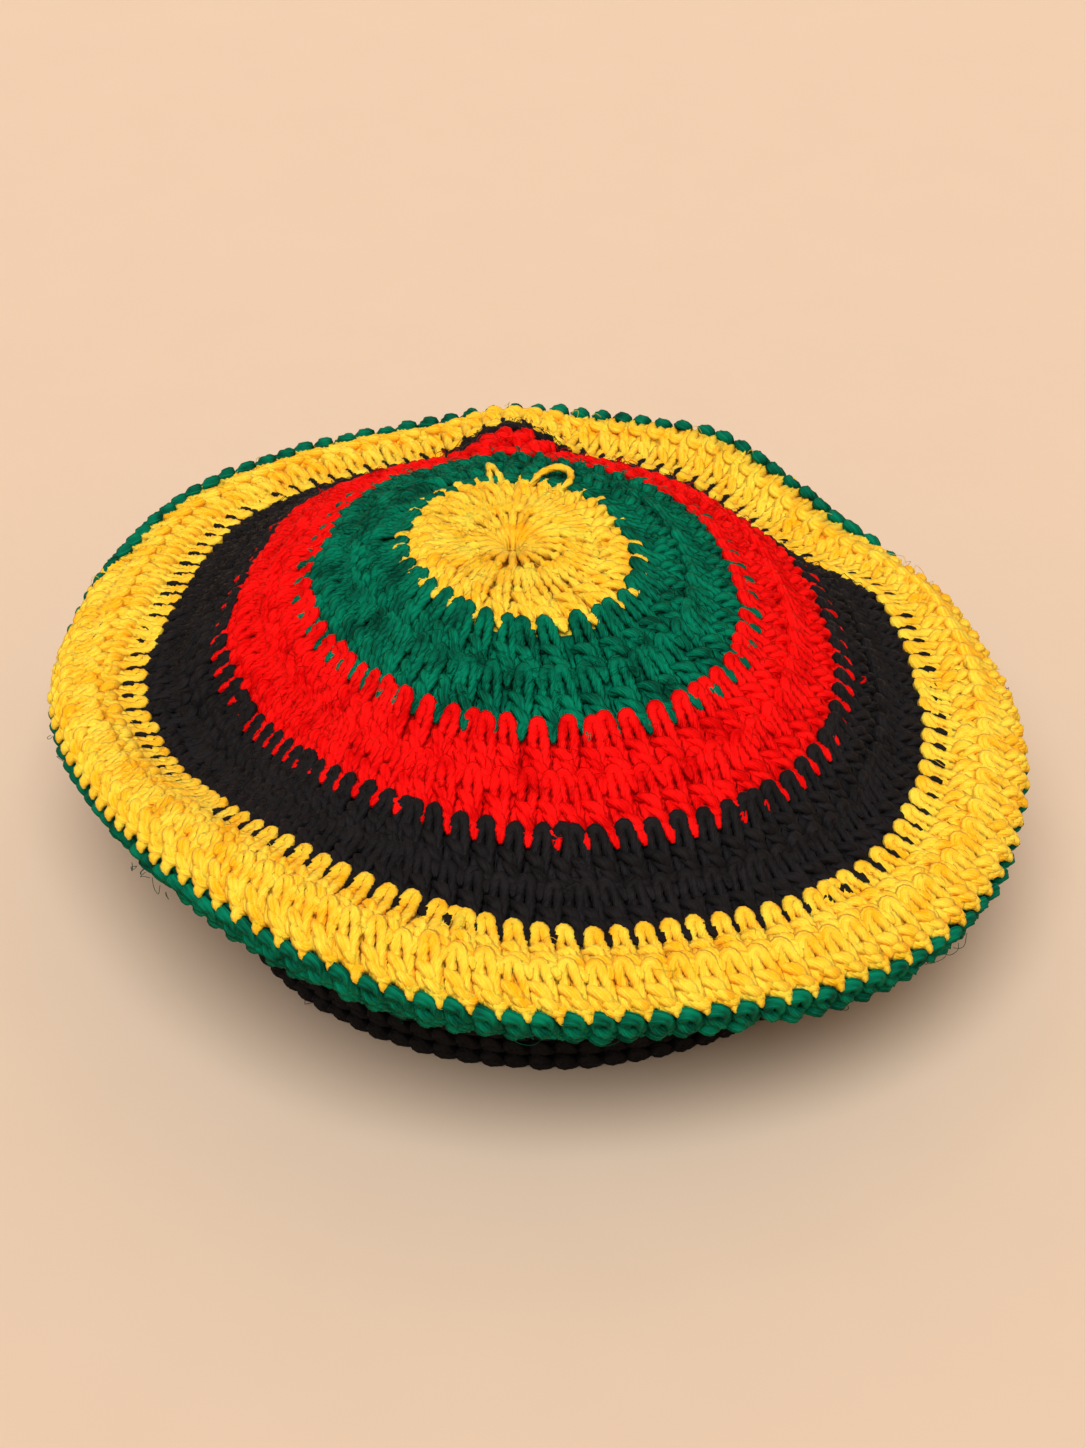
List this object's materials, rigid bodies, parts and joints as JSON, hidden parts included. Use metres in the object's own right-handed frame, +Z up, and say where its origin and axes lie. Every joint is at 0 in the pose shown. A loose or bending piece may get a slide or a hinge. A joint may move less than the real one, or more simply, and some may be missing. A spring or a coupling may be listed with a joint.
{
  "type": "crocheted rasta tam hat",
  "caption": "Wide slouchy crocheted tam with coloured rounds, a rolled rim and a plain round headband, lying flat and open below for a head.",
  "frame": {"origin": "middle of the hat's extent in plan, on the surface that the headband's foot rests on", "axes": "+Z up through the crown, +X to the hat's right and +Y to its back as it lies in the picture"},
  "size_m": [0.2644, 0.2758, 0.1067],
  "materials": {
    "yellow_yarn": "matte plied acrylic yarn",
    "green_yarn": "matte plied acrylic yarn",
    "red_yarn": "matte plied acrylic yarn",
    "black_yarn": "matte plied acrylic yarn"
  },
  "bodies": {
    "root": {"centre_disc": "yellow_yarn", "green_ring": "green_yarn", "red_ring": "red_yarn", "black_ring": "black_yarn", "yellow_rim": "yellow_yarn", "green_edge": "green_yarn", "black_underside": "black_yarn", "headband": "black_yarn"}
  },
  "joints": []
}
